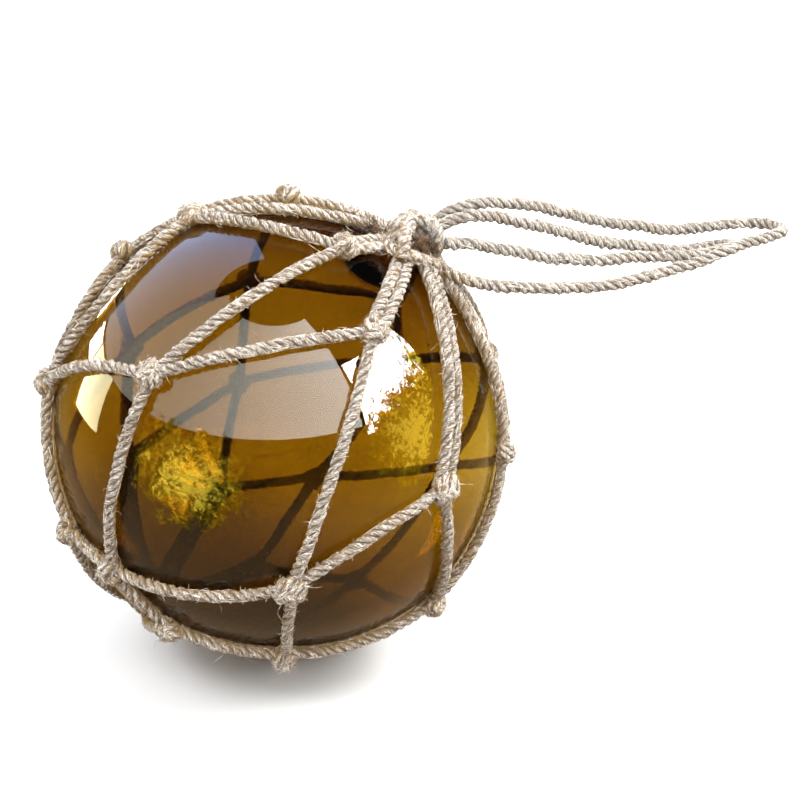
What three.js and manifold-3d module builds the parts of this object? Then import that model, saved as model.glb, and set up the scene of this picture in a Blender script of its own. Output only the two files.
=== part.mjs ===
// A glass float ball: a sealed glass ball in a net knotted from jute cord, with
// two loops of the same cord standing out of the crown knot to hang it by.
// Millimetres, +Z up. The origin is under the ball, on the surface it rests on.
// The net's crown leans over towards +X, and the front of the ball faces -Y.

import * as THREE from 'three';
import { mergeVertices } from 'three/addons/utils/BufferGeometryUtils.js';
import Module from 'manifold-3d';

const wasm = await Module();
wasm.setup();

// ---- Driving dimensions -------------------------------------------------

const BALL_RADIUS = 62.5;
const CORD_DIAMETER = 3.5;
const CLEARANCE = 0.3; // left between pieces that touch
const CROWN_LEAN = 35; // degrees from upright, towards +X
const RESTING_HEIGHT = 65.2; // ball centre above the surface, on the pressed cords

const CORD_RADIUS = CORD_DIAMETER / 2;
const CORD_HEIGHT = 2.4; // a cord's centreline above the glass
const CORD_STEP = 16; // longest straight step of a net cord
const CORD_CORNER = 1.85; // from a cord's centreline to its six corners

const NET_KNOT = { across: 4.6, along: 4, proud: 3.1, height: 3.4 }; // half sizes
const KNOT_DEPTH = 2.6; // how near to a knot's middle the cords go in

const CROWN_KNOT = { radius: 7.4, halfHeight: 6.3, height: 6.8 };
const CROWN_WRAP = { radius: 6.1, cord: 2.3, height: 7.8, tilt: 55 };
const CROWN_GATHER = { radius: 10.5, neck: 6.5, rim: 2.5, height: 5, aim: 5 };
const START_RING = { angle: 9, cord: 2.1, height: 2.6, aim: 6.5 };

const LOOP_SIDES = 8;
const LOOP_STEP = 10;

// ---- Where the knots sit ------------------------------------------------

// Each knot's place on the ball in degrees: down from the crown, and round the
// crown's axis, counted from the low side. The net was knotted by hand, so its
// meshes are uneven.
const KNOTS = {
  // first row, hung from the crown by paired cords
  top_back_left: [34, 155],
  top_left: [24, 229],
  top_front: [39, 268],
  front_right: [65, 308],
  right: [56, 343],
  back_right: [45, 30],
  back: [50, 76],
  // second row
  shoulder: [55, 178],
  shoulder_back: [75, 173],
  front_left: [80, 229],
  front_low: [101, 285],
  right_low: [98, 337],
  back_right_low: [84, 34],
  back_middle: [70, 64],
  back_left: [75, 114],
  // third row
  left: [108, 191],
  left_low: [130, 245],
  under_front: [125, 305],
  under_right: [123, 22],
  back_low_right: [113, 63],
  back_low: [104, 98],
  back_low_left: [107, 134],
  // fourth row, tied down to the start ring by paired cords
  under_left: [134, 222],
  under_front_left: [138, 271],
  underside: [145, 0],
  under_back_right: [144, 50],
  under_back: [133, 86],
  under_back_left: [136, 126],
  under_far_left: [136, 165],
};

// Cords that leave the crown: knot, place round the crown where the cord comes
// out from under it, number of cords side by side, and sideways bow in degrees.
const CROWN_CORDS = [
  ['top_back_left', 115, 2, -4],
  ['shoulder', 186, 1, 3.5],
  ['top_left', 225, 2, 0],
  ['top_front', 272, 2, 0],
  ['front_right', 292, 2, -1.5],
  ['right', 352, 2, -1],
  ['back_right', 30, 2, 0],
  ['back', 76, 2, 0],
];

// Single cords of the net, from knot to knot, with their sideways bow in degrees.
const NET_CORDS = [
  ['top_left', 'front_left', 1.6],
  ['top_left', 'shoulder', 4],
  ['top_front', 'front_left', 1],
  ['top_front', 'front_low', -1.5],
  ['front_right', 'front_low', -2.5],
  ['front_right', 'right_low', -1],
  ['right', 'right_low', 0],
  ['right', 'back_right_low', 0],
  ['back_right', 'back_right_low', 0],
  ['back_right', 'back_middle', 0],
  ['back', 'back_middle', 0],
  ['back', 'back_left', -3],
  ['top_back_left', 'back_left', 0],
  ['top_back_left', 'shoulder_back', 0],
  ['shoulder', 'shoulder_back', -2],
  ['shoulder', 'left', 11],
  ['shoulder_back', 'left', 6],
  ['shoulder_back', 'back_low_left', 0],
  ['front_left', 'left', -2],
  ['front_left', 'left_low', 0],
  ['front_low', 'left_low', 1],
  ['front_low', 'under_front', 0],
  ['right_low', 'under_front', 0],
  ['right_low', 'under_right', 0],
  ['back_right_low', 'under_right', 0],
  ['back_right_low', 'back_low_right', 0],
  ['back_middle', 'back_low_right', 0],
  ['back_middle', 'back_low', 0],
  ['back_left', 'back_low', 0],
  ['back_left', 'back_low_left', 0],
  ['left', 'under_left', 0],
  ['left_low', 'under_left', 0],
  ['left_low', 'under_front_left', 0],
  ['under_front', 'under_front_left', 0],
  ['under_front', 'underside', 0],
  ['under_right', 'underside', 0],
  ['under_right', 'under_back_right', 0],
  ['back_low_right', 'under_back_right', 0],
  ['back_low_right', 'under_back', 0],
  ['back_low', 'under_back', 0],
  ['back_low', 'under_back_left', 0],
  ['back_low_left', 'under_back_left', 0],
  ['back_low_left', 'under_far_left', 0],
  ['left', 'under_far_left', 0],
];

const LAST_ROW = [
  'under_left', 'under_front_left', 'underside', 'under_back_right',
  'under_back', 'under_back_left', 'under_far_left',
];

// Routes of the two hanging loops, from the middle of the ball. Each starts and
// ends inside the crown knot. The cord is stiff, so the loops stand out of the
// knot and sink a little towards their tips.
const OUTER_LOOP = [
  [43, 4.5, 58.5], [46, 4.5, 61], [50, 5, 62.5], [57, 7, 63.5], [64, 10, 62.5],
  [71.5, 13, 61], [78.5, 17, 58.5], [86.5, 21, 55.5], [94, 25, 53], [102, 28, 51.5],
  [109.5, 31, 49.5], [117.5, 34, 49], [125, 37, 49], [133, 40, 49],
  [138.5, 40.5, 49], [142.5, 38, 49], [144, 33.5, 49], [142.5, 29, 49],
  [138.5, 26, 48.5], [133, 23, 48], [126, 19.5, 46.5], [118.5, 17, 44],
  [111.5, 15.5, 42.5], [104, 13, 41], [96.5, 10, 40], [89, 7.5, 39.5],
  [81.5, 5, 40], [74.5, 2.5, 40.5], [67.5, 0, 41.5], [60, -2, 42.5],
  [53.5, -4, 44.5], [47.5, -5.5, 47], [44, -5.5, 49.5],
];
const INNER_LOOP = [
  [44.5, 0.5, 58.5], [48, 1, 60], [53.5, 2, 61], [60, 5, 60], [67.5, 8, 57.5],
  [75, 12, 55], [82.5, 16, 52], [90, 20, 49], [102, 26, 46], [109.5, 29.5, 44],
  [117.5, 33, 43], [122.5, 34.5, 43.5], [126.5, 33.5, 44.5], [129, 30, 45.5],
  [128, 26, 45.5], [124.5, 23, 45.5], [119, 21, 45], [113.5, 19.5, 45],
  [108, 18.5, 45], [101, 16.5, 45.5], [89.5, 13, 45.5], [82, 10.5, 46.5],
  [75, 8, 47.5], [67.5, 5, 50], [60, 2, 52], [53.5, -1, 54], [46, -3.5, 55],
];

// ---- Places on the ball -------------------------------------------------

const radians = THREE.MathUtils.degToRad;
const ballCentre = new THREE.Vector3(0, 0, RESTING_HEIGHT);
const upright = new THREE.Vector3(0, 0, 1);
const leanAxis = new THREE.Vector3(0, 1, 0);
const crownAxis = upright.clone().applyAxisAngle(leanAxis, radians(CROWN_LEAN));

// The outward direction at a place given in degrees down from the crown and round it.
function outward([down, round]) {
  const direction = new THREE.Vector3();
  direction.setFromSphericalCoords(1, radians(down), radians(round));
  direction.set(direction.z, direction.x, direction.y); // three's pole is +Y
  return direction.applyAxisAngle(leanAxis, radians(CROWN_LEAN));
}

// A point at some height above the glass, in the object's frame.
function above(direction, height) {
  return direction.clone().multiplyScalar(BALL_RADIUS + height).add(ballCentre);
}

// Directions along the shortest way over the ball from one place to another,
// bowed to one side in the middle, and stopped short by a trim at each end.
function wayOver(from, to, bow, trim) {
  const sideways = from.clone().cross(to).normalize();
  const whole = from.angleTo(to);
  const cut = trim / BALL_RADIUS;
  const steps = Math.ceil(((whole - 2 * cut) * BALL_RADIUS) / CORD_STEP);
  const directions = [];
  for (let i = 0; i <= steps; i += 1) {
    const angle = THREE.MathUtils.lerp(cut, whole - cut, i / steps);
    const lift = Math.tan(radians(bow)) * Math.sin((Math.PI * angle) / whole);
    const turned = from.clone().applyAxisAngle(sideways, angle);
    directions.push(turned.addScaledVector(sideways, lift).normalize());
  }
  return directions;
}

// ---- Solids -------------------------------------------------------------

function solidOf(geometry) {
  const bare = geometry.clone();
  bare.deleteAttribute('normal');
  bare.deleteAttribute('uv');
  const merged = mergeVertices(bare, 1e-4);
  const mesh = new wasm.Mesh({
    numProp: 3,
    vertProperties: new Float32Array(merged.attributes.position.array),
    triVerts: new Uint32Array(merged.index.array),
  });
  return new wasm.Manifold(mesh);
}

function geometryOf(solid) {
  const mesh = solid.getMesh();
  const geometry = new THREE.BufferGeometry();
  geometry.setAttribute('position', new THREE.BufferAttribute(mesh.vertProperties, 3));
  geometry.setIndex(new THREE.BufferAttribute(mesh.triVerts, 1));
  geometry.computeVertexNormals();
  return geometry;
}

function corner(radius, degrees, shift = 0) {
  const turn = radians(degrees);
  return new THREE.Vector2(shift + radius * Math.cos(turn), radius * Math.sin(turn));
}

// The section of one net cord, six-sided, or of a pair of them side by side with
// a waist between, x across the pair and y away from the glass.
function netSection(count) {
  if (count === 1) {
    return [-90, -30, 30, 90, 150, 210].map((turn) => corner(CORD_CORNER, turn));
  }
  const right = [-90, -30, 30, 90].map((turn) => corner(CORD_CORNER, turn, CORD_RADIUS));
  right.push(new THREE.Vector2(0, CORD_CORNER / 2));
  const left = right.map((point) => point.clone().negate());
  return [...right, ...left];
}

function tube(points, corners, steps) {
  const path = new THREE.CatmullRomCurve3(points);
  const outline = new THREE.Shape(corners);
  return new THREE.ExtrudeGeometry(outline, { steps, extrudePath: path });
}

// One cord of the net, or a pair of them, with the section turned flat to the glass.
function netCord(from, to, count, bow, trim) {
  const points = wayOver(from, to, bow, trim).map((way) => above(way, CORD_HEIGHT));
  const steps = points.length - 1;
  const frames = new THREE.CatmullRomCurve3(points).computeFrenetFrames(steps);
  const across = from.clone().cross(to).normalize();
  const roll = Math.atan2(across.dot(frames.binormals[0]), across.dot(frames.normals[0]));
  const corners = netSection(count);
  corners.forEach((point) => point.rotateAround(new THREE.Vector2(), roll));
  return solidOf(tube(points, corners, steps));
}

// A knot of the net: a round body on the glass, wider across the net than along it.
function netKnot(direction) {
  const { across, along, proud, height } = NET_KNOT;
  const body = new THREE.SphereGeometry(1, 6, 3);
  const side = crownAxis.clone().cross(direction).normalize();
  const downhill = side.clone().cross(direction);
  body.scale(across, proud, along);
  body.applyMatrix4(new THREE.Matrix4().makeBasis(side, direction, downhill));
  body.translate(...above(direction, height).toArray());
  return solidOf(body);
}

// Turns a shape made round +Z so that it stands round another axis.
function stand(geometry, axis, place) {
  geometry.applyQuaternion(new THREE.Quaternion().setFromUnitVectors(upright, axis));
  geometry.translate(...place.toArray());
  return solidOf(geometry);
}

// The turn of cord round the foot of the net that its last row is tied to.
function startRing() {
  const foot = crownAxis.clone().negate();
  const reach = BALL_RADIUS + START_RING.height;
  const angle = radians(START_RING.angle);
  const ring = new THREE.TorusGeometry(reach * Math.sin(angle), START_RING.cord, 6, 14);
  return stand(ring, foot, above(foot, reach * Math.cos(angle) - BALL_RADIUS));
}

// The cords drawn together under the crown knot: a low cone with a hollow foot
// that fits the ball.
function crownGather() {
  const foot = BALL_RADIUS + CLEARANCE;
  const { radius, neck, rim, height } = CROWN_GATHER;
  const drop = foot - Math.sqrt(foot * foot - radius * radius);
  const profile = [
    [0, 0], [radius / 2, -drop / 4], [radius, -drop],
    [radius, rim - drop], [neck, height], [0, height],
  ];
  const corners = profile.map(([x, y]) => new THREE.Vector2(x, y));
  const cone = new THREE.LatheGeometry(corners, 12);
  cone.rotateX(Math.PI / 2);
  return stand(cone, crownAxis, above(crownAxis, CLEARANCE));
}

// The crown knot: a round body with a turn of cord wound slantwise over it.
function crownKnot() {
  const { radius, halfHeight, height } = CROWN_KNOT;
  const body = new THREE.SphereGeometry(1, 10, 7);
  body.rotateX(Math.PI / 2);
  body.scale(radius, radius, halfHeight);
  const wrap = new THREE.TorusGeometry(CROWN_WRAP.radius, CROWN_WRAP.cord, 6, 12);
  const wrapAxis = crownAxis.clone();
  wrapAxis.applyAxisAngle(new THREE.Vector3(1, 0, 0), radians(CROWN_WRAP.tilt));
  return [
    crownGather(),
    stand(body, crownAxis, above(crownAxis, height)),
    stand(wrap, wrapAxis, above(crownAxis, CROWN_WRAP.height)),
  ];
}

// Everything below the surface that the ball rests on.
function underTheSurface() {
  const size = 4 * BALL_RADIUS;
  const block = new THREE.BoxGeometry(size, size, size);
  block.translate(0, 0, -size / 2);
  return solidOf(block);
}

// A hanging loop's cord, or the socket it sits in, which is wider and goes deeper.
function loopTube(route, clearance) {
  const points = route.map((point) => new THREE.Vector3(...point).add(ballCentre));
  for (const [end, next] of [[points[0], points[1]], [points.at(-1), points.at(-2)]]) {
    end.addScaledVector(end.clone().sub(next).normalize(), clearance);
  }
  const corners = [];
  for (let side = 0; side < LOOP_SIDES; side += 1) {
    corners.push(corner(CORD_RADIUS + clearance, (360 * side) / LOOP_SIDES));
  }
  const length = new THREE.CatmullRomCurve3(points).getLength();
  return tube(points, corners, Math.round(length / LOOP_STEP));
}

function netSolid() {
  const solids = [...crownKnot(), startRing()];
  for (const [knot, round, count, bow] of CROWN_CORDS) {
    const start = outward([CROWN_GATHER.aim, round]);
    solids.push(netCord(start, outward(KNOTS[knot]), count, bow, KNOT_DEPTH));
  }
  for (const [from, to, bow] of NET_CORDS) {
    solids.push(netCord(outward(KNOTS[from]), outward(KNOTS[to]), 1, bow, KNOT_DEPTH));
  }
  for (const knot of LAST_ROW) {
    const end = outward([180 - START_RING.aim, KNOTS[knot][1]]);
    solids.push(netCord(outward(KNOTS[knot]), end, 2, 0, KNOT_DEPTH));
  }
  for (const place of Object.values(KNOTS)) solids.push(netKnot(outward(place)));
  const joined = solids.reduce((whole, solid) => whole.add(solid));
  const sockets = [OUTER_LOOP, INNER_LOOP].map((route) =>
    solidOf(loopTube(route, CLEARANCE)),
  );
  return sockets.reduce((whole, socket) => whole.subtract(socket), joined)
    .subtract(underTheSurface());
}

// ---- The object ---------------------------------------------------------

const amberGlass = new THREE.MeshStandardMaterial({
  color: 0x9a6a10,
  roughness: 0.05,
  metalness: 0,
  transparent: true,
  opacity: 0.6,
});
const juteCord = new THREE.MeshStandardMaterial({
  color: 0xb9ab90,
  roughness: 0.95,
  metalness: 0,
});

function glassBall() {
  const geometry = new THREE.SphereGeometry(BALL_RADIUS, 32, 18);
  const mesh = new THREE.Mesh(geometry, amberGlass);
  mesh.name = 'glass_ball';
  mesh.position.copy(ballCentre);
  return mesh;
}

function juteNet() {
  const mesh = new THREE.Mesh(geometryOf(netSolid()), juteCord);
  mesh.name = 'jute_net';
  return mesh;
}

function hangingLoop(name, route) {
  const mesh = new THREE.Mesh(loopTube(route, 0), juteCord);
  mesh.name = name;
  return mesh;
}

const floatBall = new THREE.Group();
floatBall.add(
  glassBall(),
  juteNet(),
  hangingLoop('hanging_loop_outer', OUTER_LOOP),
  hangingLoop('hanging_loop_inner', INNER_LOOP),
);

export default floatBall;
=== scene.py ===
# %% [markdown]
# # A glass float ball in its net
# The object is a blown ball of amber glass, sealed, in a net that somebody knotted round it
# from three-strand jute cord. Two loops of the same cord stand out of the crown knot.
# The CAD frame gives every place and size: the ball, the route of each cord and the two loops.
# Here each one gets its real surface: strands that are laid up into cord, knots made of turns
# of that cord, loose fibres, and glass with a wall that light goes through.

# %% Load the frame
import math
import random

import bmesh
import bpy
import numpy as np
from mathutils import Matrix, Vector, noise
from mathutils.geometry import interpolate_bezier


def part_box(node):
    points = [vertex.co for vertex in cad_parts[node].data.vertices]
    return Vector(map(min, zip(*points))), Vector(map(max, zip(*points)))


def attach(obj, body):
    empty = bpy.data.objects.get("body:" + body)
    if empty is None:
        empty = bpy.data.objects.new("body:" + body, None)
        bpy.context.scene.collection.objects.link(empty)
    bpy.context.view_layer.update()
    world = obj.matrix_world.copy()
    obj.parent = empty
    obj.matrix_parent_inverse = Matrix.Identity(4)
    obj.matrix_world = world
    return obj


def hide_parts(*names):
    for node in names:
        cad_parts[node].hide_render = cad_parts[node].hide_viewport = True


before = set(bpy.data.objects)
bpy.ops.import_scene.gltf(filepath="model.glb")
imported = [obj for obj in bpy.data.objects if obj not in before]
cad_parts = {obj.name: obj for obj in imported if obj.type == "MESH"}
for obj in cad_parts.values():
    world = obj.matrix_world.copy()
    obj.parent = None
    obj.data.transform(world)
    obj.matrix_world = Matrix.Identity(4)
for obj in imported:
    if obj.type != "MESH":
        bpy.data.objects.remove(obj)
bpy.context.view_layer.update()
MM = 0.001

ball_low, ball_high = (Vector(corner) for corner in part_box("glass_ball"))
CENTRE = (ball_low + ball_high) / 2
RADIUS = (ball_high.z - ball_low.z) / 2
CORD = 3.5 * MM
LAID = 3.25 * MM  # a cord's diameter over its strands, without the fuzz that fills it out
print("ball centre", tuple(round(v, 4) for v in CENTRE), "radius", round(RADIUS, 4))

# %% [markdown]
# ## Camera
# The ball is seen from a little above, with a long lens, so that it stays round at the edge of
# the frame. The camera looks level with the ball's front and 20 degrees down, from about half a
# metre away. It is placed from the ball's centre, so it follows the object's own size.

# %% Set up the camera
LOOK_DOWN = math.radians(20)
CAMERA_DISTANCE = 528 * MM
LENS = 85
OFF_CENTRE = (34 * MM, 8.5 * MM)  # the frame's middle from the ball's, to the right and up


def in_scene(name, data):
    """A new object in the scene, at the origin."""
    made = bpy.data.objects.new(name, data)
    bpy.context.scene.collection.objects.link(made)
    return made


back = Vector((0, -math.cos(LOOK_DOWN), math.sin(LOOK_DOWN)))
image_up = Vector((0, math.sin(LOOK_DOWN), math.cos(LOOK_DOWN)))
camera = in_scene("camera", bpy.data.cameras.new("camera"))
camera.data.lens = LENS
camera.data.sensor_width = 36
camera.location = CENTRE + back * CAMERA_DISTANCE + image_up * OFF_CENTRE[1]
camera.location.x += OFF_CENTRE[0]
camera.rotation_mode = "QUATERNION"
camera.rotation_quaternion = back.to_track_quat("Z", "Y")
bpy.context.scene.camera = camera
print("camera at", tuple(round(v, 3) for v in camera.location))

# %% [markdown]
# ## Laying a cord
# Jute cord is three strands laid up round each other, right-handed, like the middle stroke of
# a Z. The shape could be painted on a plain tube as bump, but then its outline stays straight.
# Here the strands are real: three circles are spun up a screw into a straight cord, and the
# cord is then bent along its route, ring by ring. Three values are stored on each vertex for
# the material: where it is in its own strand, with the twist taken out, how far it stands proud
# of the middle of the cord, because the grooves between strands are given painted shade, and how
# pale this length of cord is.

# %% Spin three strands into a straight cord
STRAND_SIDES = 9
STRAND_REACH = 0.21575  # from the cord's middle to a strand's, in cord diameters
STRAND_THICK = 0.2865  # a strand's radius, in cord diameters: the three are squeezed into each other
RINGS_PER_TURN = 12


def mesh_of(bm, name):
    """The mesh that a bmesh has become."""
    mesh = bpy.data.meshes.new(name)
    bm.to_mesh(mesh)
    bm.free()
    return mesh


def straight_cord(rings, ring_gap, turn_per_ring, reach, thick):
    """Three strands laid up round +Z, one ring of points for each step along it."""
    bm = bmesh.new()
    for strand in range(3):
        angle = math.tau * strand / 3
        middle = Vector((math.cos(angle), math.sin(angle), 0)) * reach
        bmesh.ops.create_circle(
            bm, segments=STRAND_SIDES, radius=thick, matrix=Matrix.Translation(middle)
        )
    bmesh.ops.spin(
        bm,
        geom=bm.edges[:],
        cent=(0, 0, 0),
        axis=(0, 0, 1),
        dvec=(0, 0, ring_gap),
        angle=turn_per_ring * (rings - 1),
        steps=rings - 1,
        use_duplicate=False,
    )
    bmesh.ops.holes_fill(bm, edges=[e for e in bm.edges if e.is_boundary], sides=0)
    bmesh.ops.recalc_face_normals(bm, faces=bm.faces[:])
    return mesh_of(bm, "cord")


print("a strand has", STRAND_SIDES, "sides, and a turn of the lay", RINGS_PER_TURN, "rings")


# %% Walk along a route at an even pace
def evenly(route, gap):
    """Points at an even gap along a route, and the route's length."""
    points = np.array([tuple(p) for p in route])
    steps = np.linalg.norm(np.diff(points, axis=0), axis=1)
    distance = np.concatenate([[0], np.cumsum(steps)])
    count = max(4, int(round(distance[-1] / gap)) + 1)
    places = np.linspace(0, distance[-1], count)
    even = [np.interp(places, distance, points[:, i]) for i in range(3)]
    return np.stack(even, axis=1), distance[-1]


def frames_along(points):
    """Two directions across the route at each point, carried along it without twisting."""
    ahead = np.gradient(points, axis=0)
    ahead /= np.linalg.norm(ahead, axis=1)[:, None]
    across = Vector(ahead[0]).orthogonal().normalized()
    first, second = [], []
    for direction in ahead:
        direction = Vector(direction)
        across = (across - direction * across.dot(direction)).normalized()
        first.append(across.copy())
        second.append(direction.cross(across))
    return np.array(first), np.array(second)


sample, length = evenly([(0, 0, 0), (0, 0, 1), (1, 0, 1)], 0.1)
print("a route", length, "m long has", len(sample), "points, one every 0.1 m")

# %% Lay the cord along its route
FIBRE_TWIST = -1.5  # how much more the fibres turn in a strand than the strand in the cord
SWELL = 0.07  # how unevenly thick a strand is
DRIFT = 0.12  # how far it strays from its place in the cord
SLIP = 0.22  # how unevenly the cord is laid, in radians
luck = np.random.default_rng(7)


def uneven(rows, rings, amount):
    """Rows of numbers near zero that wander smoothly from ring to ring."""
    places = np.arange(0, rings + 6, 5)
    values = [luck.normal(0, amount, len(places)) for _ in range(rows)]
    return np.array([np.interp(range(rings), places, row) for row in values])


def lay_cord(route, diameter, lay, shade):
    """A mesh of three-strand cord along a route. lay is one full turn, in diameters, and
    shade, from 0 to 1, is how pale this length of it is."""
    points, length = evenly(route, lay * diameter / RINGS_PER_TURN)
    rings = len(points)
    ring_gap = length / (rings - 1)
    turn_per_ring = math.tau * ring_gap / (lay * diameter)
    reach = STRAND_REACH * diameter
    mesh = straight_cord(rings, ring_gap, turn_per_ring, reach, STRAND_THICK * diameter)
    flat = np.empty(len(mesh.vertices) * 3)
    mesh.vertices.foreach_get("co", flat)
    flat = flat.reshape(-1, 3)
    ring = np.rint(flat[:, 2] / ring_gap).astype(int).clip(0, rings - 1)

    # unwind the lay, so that each strand can be made a little uneven before it is laid again
    laid = turn_per_ring * ring
    unlaid = (flat[:, 0] + 1j * flat[:, 1]) * np.exp(-1j * laid)
    strand = np.rint(np.angle(unlaid) * 3 / math.tau).astype(int) % 3
    middle = reach * np.exp(1j * math.tau * strand / 3)
    own = unlaid - middle
    swell = 1 + uneven(3, rings, SWELL)[strand, ring]
    drift = 1 + uneven(3, rings, DRIFT)[strand, ring]
    slip = uneven(1, rings, SLIP)[0, ring] + shade * math.tau
    lumps = 1 + luck.normal(0, 0.08, len(flat)).clip(-0.16, 0.16)
    relaid = (middle * drift + own * swell * lumps) * np.exp(1j * (laid + slip))
    first, second = frames_along(points)
    bent = points[ring] + first[ring] * relaid.real[:, None] + second[ring] * relaid.imag[:, None]
    mesh.vertices.foreach_set("co", bent.ravel())

    fibres = own * np.exp(1j * FIBRE_TWIST * laid)
    fibre = np.stack([fibres.real, fibres.imag, flat[:, 2]], axis=1) / MM
    fibre += strand[:, None] * 20 + shade * 77
    proud = np.abs(relaid) / (diameter * 0.5)
    mesh.attributes.new("fibre", "FLOAT_VECTOR", "POINT").data.foreach_set("vector", fibre.ravel())
    mesh.attributes.new("proud", "FLOAT", "POINT").data.foreach_set("value", proud)
    shades = mesh.attributes.new("shade", "FLOAT", "POINT")
    shades.data.foreach_set("value", np.full(len(flat), shade))
    return mesh


print("a metre of cord takes", round(RINGS_PER_TURN / (2.3 * LAID)), "rings")


# %% Make one piece of many lengths
def piece_from(meshes, name, material):
    """One smooth object from several meshes, riding on the ball's body."""
    bm = bmesh.new()
    for mesh in meshes:
        bm.from_mesh(mesh)
        bpy.data.meshes.remove(mesh)
    whole = mesh_of(bm, name)
    whole.shade_smooth()
    whole.materials.append(material)
    piece = in_scene(name, whole)
    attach(piece, "root")
    print(name, len(whole.vertices), "vertices")
    return piece


# %% Draw a smooth route through given points
def smooth_through(points, steps=12):
    """A smooth route through given points, with so many steps between two of them."""
    points = [Vector(p) for p in points]
    route = []
    for i in range(len(points) - 1):
        before, start, end, after = (
            points[max(i - 1, 0)],
            points[i],
            points[i + 1],
            points[min(i + 2, len(points) - 1)],
        )
        reach = (end - start).length / 3
        leave = (end - before).normalized() * reach
        arrive = (after - start).normalized() * reach
        route += interpolate_bezier(start, start + leave, end - arrive, end, steps)[:-1]
    return route + [points[-1]]


corner = smooth_through([(0, 0, 0), (1, 0, 0), (1, 1, 0)])
print("a route round one corner has", len(corner), "points")

# %% [markdown]
# ## Shader maths
# A material could be wired up node by node, but it is easier to read as sums. One small class
# wraps a node's output, so that a plus or a times adds the Math node, and one method adds any
# other node.

# %% Wrap a node's output so that it can be used in sums
class Output:
    """What comes out of one node of a recipe."""

    def __init__(self, recipe, socket):
        self.recipe = recipe
        self.socket = socket

    def __add__(self, other):
        return self.recipe.maths("ADD", self, other)

    def __sub__(self, other):
        return self.recipe.maths("SUBTRACT", self, other)

    def __rsub__(self, other):
        return self.recipe.maths("SUBTRACT", other, self)

    def __mul__(self, other):
        return self.recipe.maths("MULTIPLY", self, other)

    __radd__ = __add__
    __rmul__ = __mul__


print("an output can be added, taken away and multiplied, from either side")

# %% Write a material as a recipe
class Recipe:
    """The node tree of a material, or of the sky."""

    def __init__(self, name, kept_in=bpy.data.materials):
        self.finish = kept_in.new(name)
        self.finish.use_nodes = True
        self.tree = self.finish.node_tree
        self.tree.nodes.clear()

    def node(self, kind, settings=None, values=None, output=0):
        made = self.tree.nodes.new(kind)
        for name, value in (settings or {}).items():
            if name == "stops":
                ramp = made.color_ramp
                while len(ramp.elements) < len(value):
                    ramp.elements.new(0.5)
                for element, (place, colour) in zip(ramp.elements, value):
                    element.position = place
                    element.color = (*colour, 1)
            else:
                setattr(made, name, value)
        for name, value in (values or {}).items():
            if isinstance(value, Output):
                self.tree.links.new(value.socket, made.inputs[name])
            else:
                made.inputs[name].default_value = value
        return Output(self, made.outputs[output]) if made.outputs else None

    def number(self, name):
        """A number that the mesh keeps on its points."""
        return self.node("ShaderNodeAttribute", {"attribute_name": name}, output=2)

    def maths(self, operation, *values):
        return self.node("ShaderNodeMath", {"operation": operation}, dict(enumerate(values)))

    def between(self, value, low, high):
        """0 below low, 1 above high, and a smooth step between."""
        settings = {"interpolation_type": "SMOOTHSTEP"}
        return self.node("ShaderNodeMapRange", settings, {0: value, 1: low, 2: high})

    def mix(self, factor, first, second):
        values = {0: factor, 6: first, 7: second}
        return self.node("ShaderNodeMix", {"data_type": "RGBA"}, values, output=2)

    def noise(self, scale, detail, where, rough=0.55):
        values = {"Scale": scale, "Detail": detail, "Vector": where, "Roughness": rough}
        return self.node("ShaderNodeTexNoise", None, values)

    def vector(self, operation, *values, output=0):
        values = dict(enumerate(values))
        return self.node("ShaderNodeVectorMath", {"operation": operation}, values, output)

    def stretched(self, where, scale):
        return self.vector("MULTIPLY", where, scale)

    def surface(self, values):
        shader = self.node("ShaderNodeBsdfPrincipled", None, values)
        self.node("ShaderNodeOutputMaterial", None, {"Surface": shader})
        return self.finish


print("a recipe adds", ", ".join(name for name in vars(Recipe) if not name.startswith("_")))

# %% [markdown]
# ## Jute
# Jute is a coarse bast fibre. New cord is straw-brown, and light bleaches it to a grey-beige.
# The grooves between strands get painted shade, a darker brown, and the sides of the cord that
# face the ball get painted amber light and painted shade, an amber-brown. What stands clear of the
# ball, the loops most of all, has gone greyer all round. A weave or a plain colour would look
# like plastic here: each strand is a bundle of fibres, so the colour and the bump are streaks
# drawn out along the strand, and patches a few millimetres long are paler or browner.

# %% Mix the jute material
DARK_JUTE = (0.28, 0.205, 0.13, 1)
PALE_JUTE = (0.9, 0.84, 0.76, 1)
GROOVE_SHADE_PAINT = (0.13, 0.075, 0.04, 1)
FLECK = (0.17, 0.1, 0.055, 1)
# painted light and painted shade: the cord's sides that face the ball are coloured amber-brown for
# the glass's amber light and the shade there
AMBER_LIGHT_AND_SHADE_PAINT = (0.4, 0.23, 0.045, 1)  # amber light comes back out of the ball at it
WEATHERED = (0.55, 0.6, 0.6, 1)


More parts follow.
